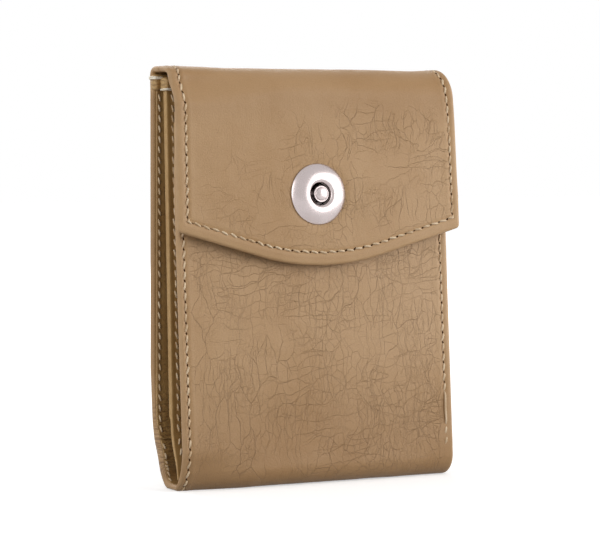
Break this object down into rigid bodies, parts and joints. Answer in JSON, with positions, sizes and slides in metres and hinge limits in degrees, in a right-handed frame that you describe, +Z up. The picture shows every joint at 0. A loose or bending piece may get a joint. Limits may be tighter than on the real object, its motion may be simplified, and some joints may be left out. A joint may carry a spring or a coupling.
{
  "type": "coupon organizer wallet",
  "caption": "Upright tan leather bifold organizer wallet with a hinged middle leaf, coupon pockets, card slots and a curved flap closed by a magnetic snap.",
  "frame": {"origin": "centre of the footprint, under the bottom fold", "axes": "+X along the width, +Y from the front to the back, +Z up through the top"},
  "size_m": [0.094, 0.0215, 0.123],
  "materials": {
    "outer_leather": "satin, crackled grain",
    "inner_leather": "satin, smooth grain",
    "board": "matt stiffener board",
    "nickel": "satin nickel plate",
    "magnet": "dark magnet"
  },
  "bodies": {
    "back_leaf": {"back_cover": "outer_leather", "back_board": "board", "back_lining": "inner_leather", "back_pocket": "inner_leather", "back_pocket_hem": "inner_leather", "fold_bottom_rear": "outer_leather", "fold_top_rear": "outer_leather"},
    "top": {"spine_cover": "outer_leather", "spine_lining": "inner_leather", "fold_top_front": "outer_leather"},
    "flap": {"flap_cover": "outer_leather", "flap_lining": "inner_leather", "snap_cap": "nickel", "snap_barrel": "nickel", "snap_socket": "nickel", "snap_magnet": "magnet"},
    "bottom": {"base_cover": "outer_leather", "base_lining": "inner_leather", "fold_bottom_front": "outer_leather", "page_hinge_strip": "inner_leather"},
    "front_leaf": {"front_cover": "outer_leather", "front_board": "board", "front_lining": "inner_leather", "front_pocket": "inner_leather", "card_slot_high": "inner_leather", "card_slot_mid": "inner_leather", "card_slot_low": "inner_leather", "snap_stud": "nickel", "stud_washer": "nickel"},
    "middle_leaf": {"page_front": "inner_leather", "page_board": "board", "page_back": "inner_leather", "page_pocket": "inner_leather", "page_hem_front": "inner_leather", "page_hem_back": "inner_leather"}
  },
  "joints": [
    {"name": "top_rear_fold", "type": "hinge", "parent": "back_leaf", "child": "top", "pos_m": [0, 0.00948, 0.12173], "axis": [-1, 0, 0], "range_deg": [0, 90], "deforming": ["fold_top_rear"]},
    {"name": "top_front_fold", "type": "hinge", "parent": "top", "child": "flap", "pos_m": [0, -0.00352, 0.12027], "axis": [-1, 0, 0], "range_deg": [0, 90], "deforming": ["fold_top_front"]},
    {"name": "bottom_rear_fold", "type": "hinge", "parent": "back_leaf", "child": "bottom", "pos_m": [0, 0.00832, 0.00243], "axis": [1, 0, 0], "range_deg": [0, 90], "deforming": ["fold_bottom_rear"]},
    {"name": "bottom_front_fold", "type": "hinge", "parent": "bottom", "child": "front_leaf", "pos_m": [0, -0.00914, 0.002], "axis": [1, 0, 0], "range_deg": [0, 90], "deforming": ["fold_bottom_front"]},
    {"name": "middle_leaf_hinge", "type": "hinge", "parent": "bottom", "child": "middle_leaf", "pos_m": [0, -0.00344, 0.00925], "axis": [1, 0, 0], "range_deg": [0, 85], "deforming": ["page_hinge_strip"]}
  ],
  "couplings": [
    {"joint": "top_front_fold", "follows": "top_rear_fold", "ratio": 1},
    {"joint": "bottom_rear_fold", "follows": "top_rear_fold", "ratio": 0.04},
    {"joint": "bottom_front_fold", "follows": "top_rear_fold", "ratio": 0.15},
    {"joint": "middle_leaf_hinge", "follows": "top_rear_fold", "ratio": 0.07}
  ]
}
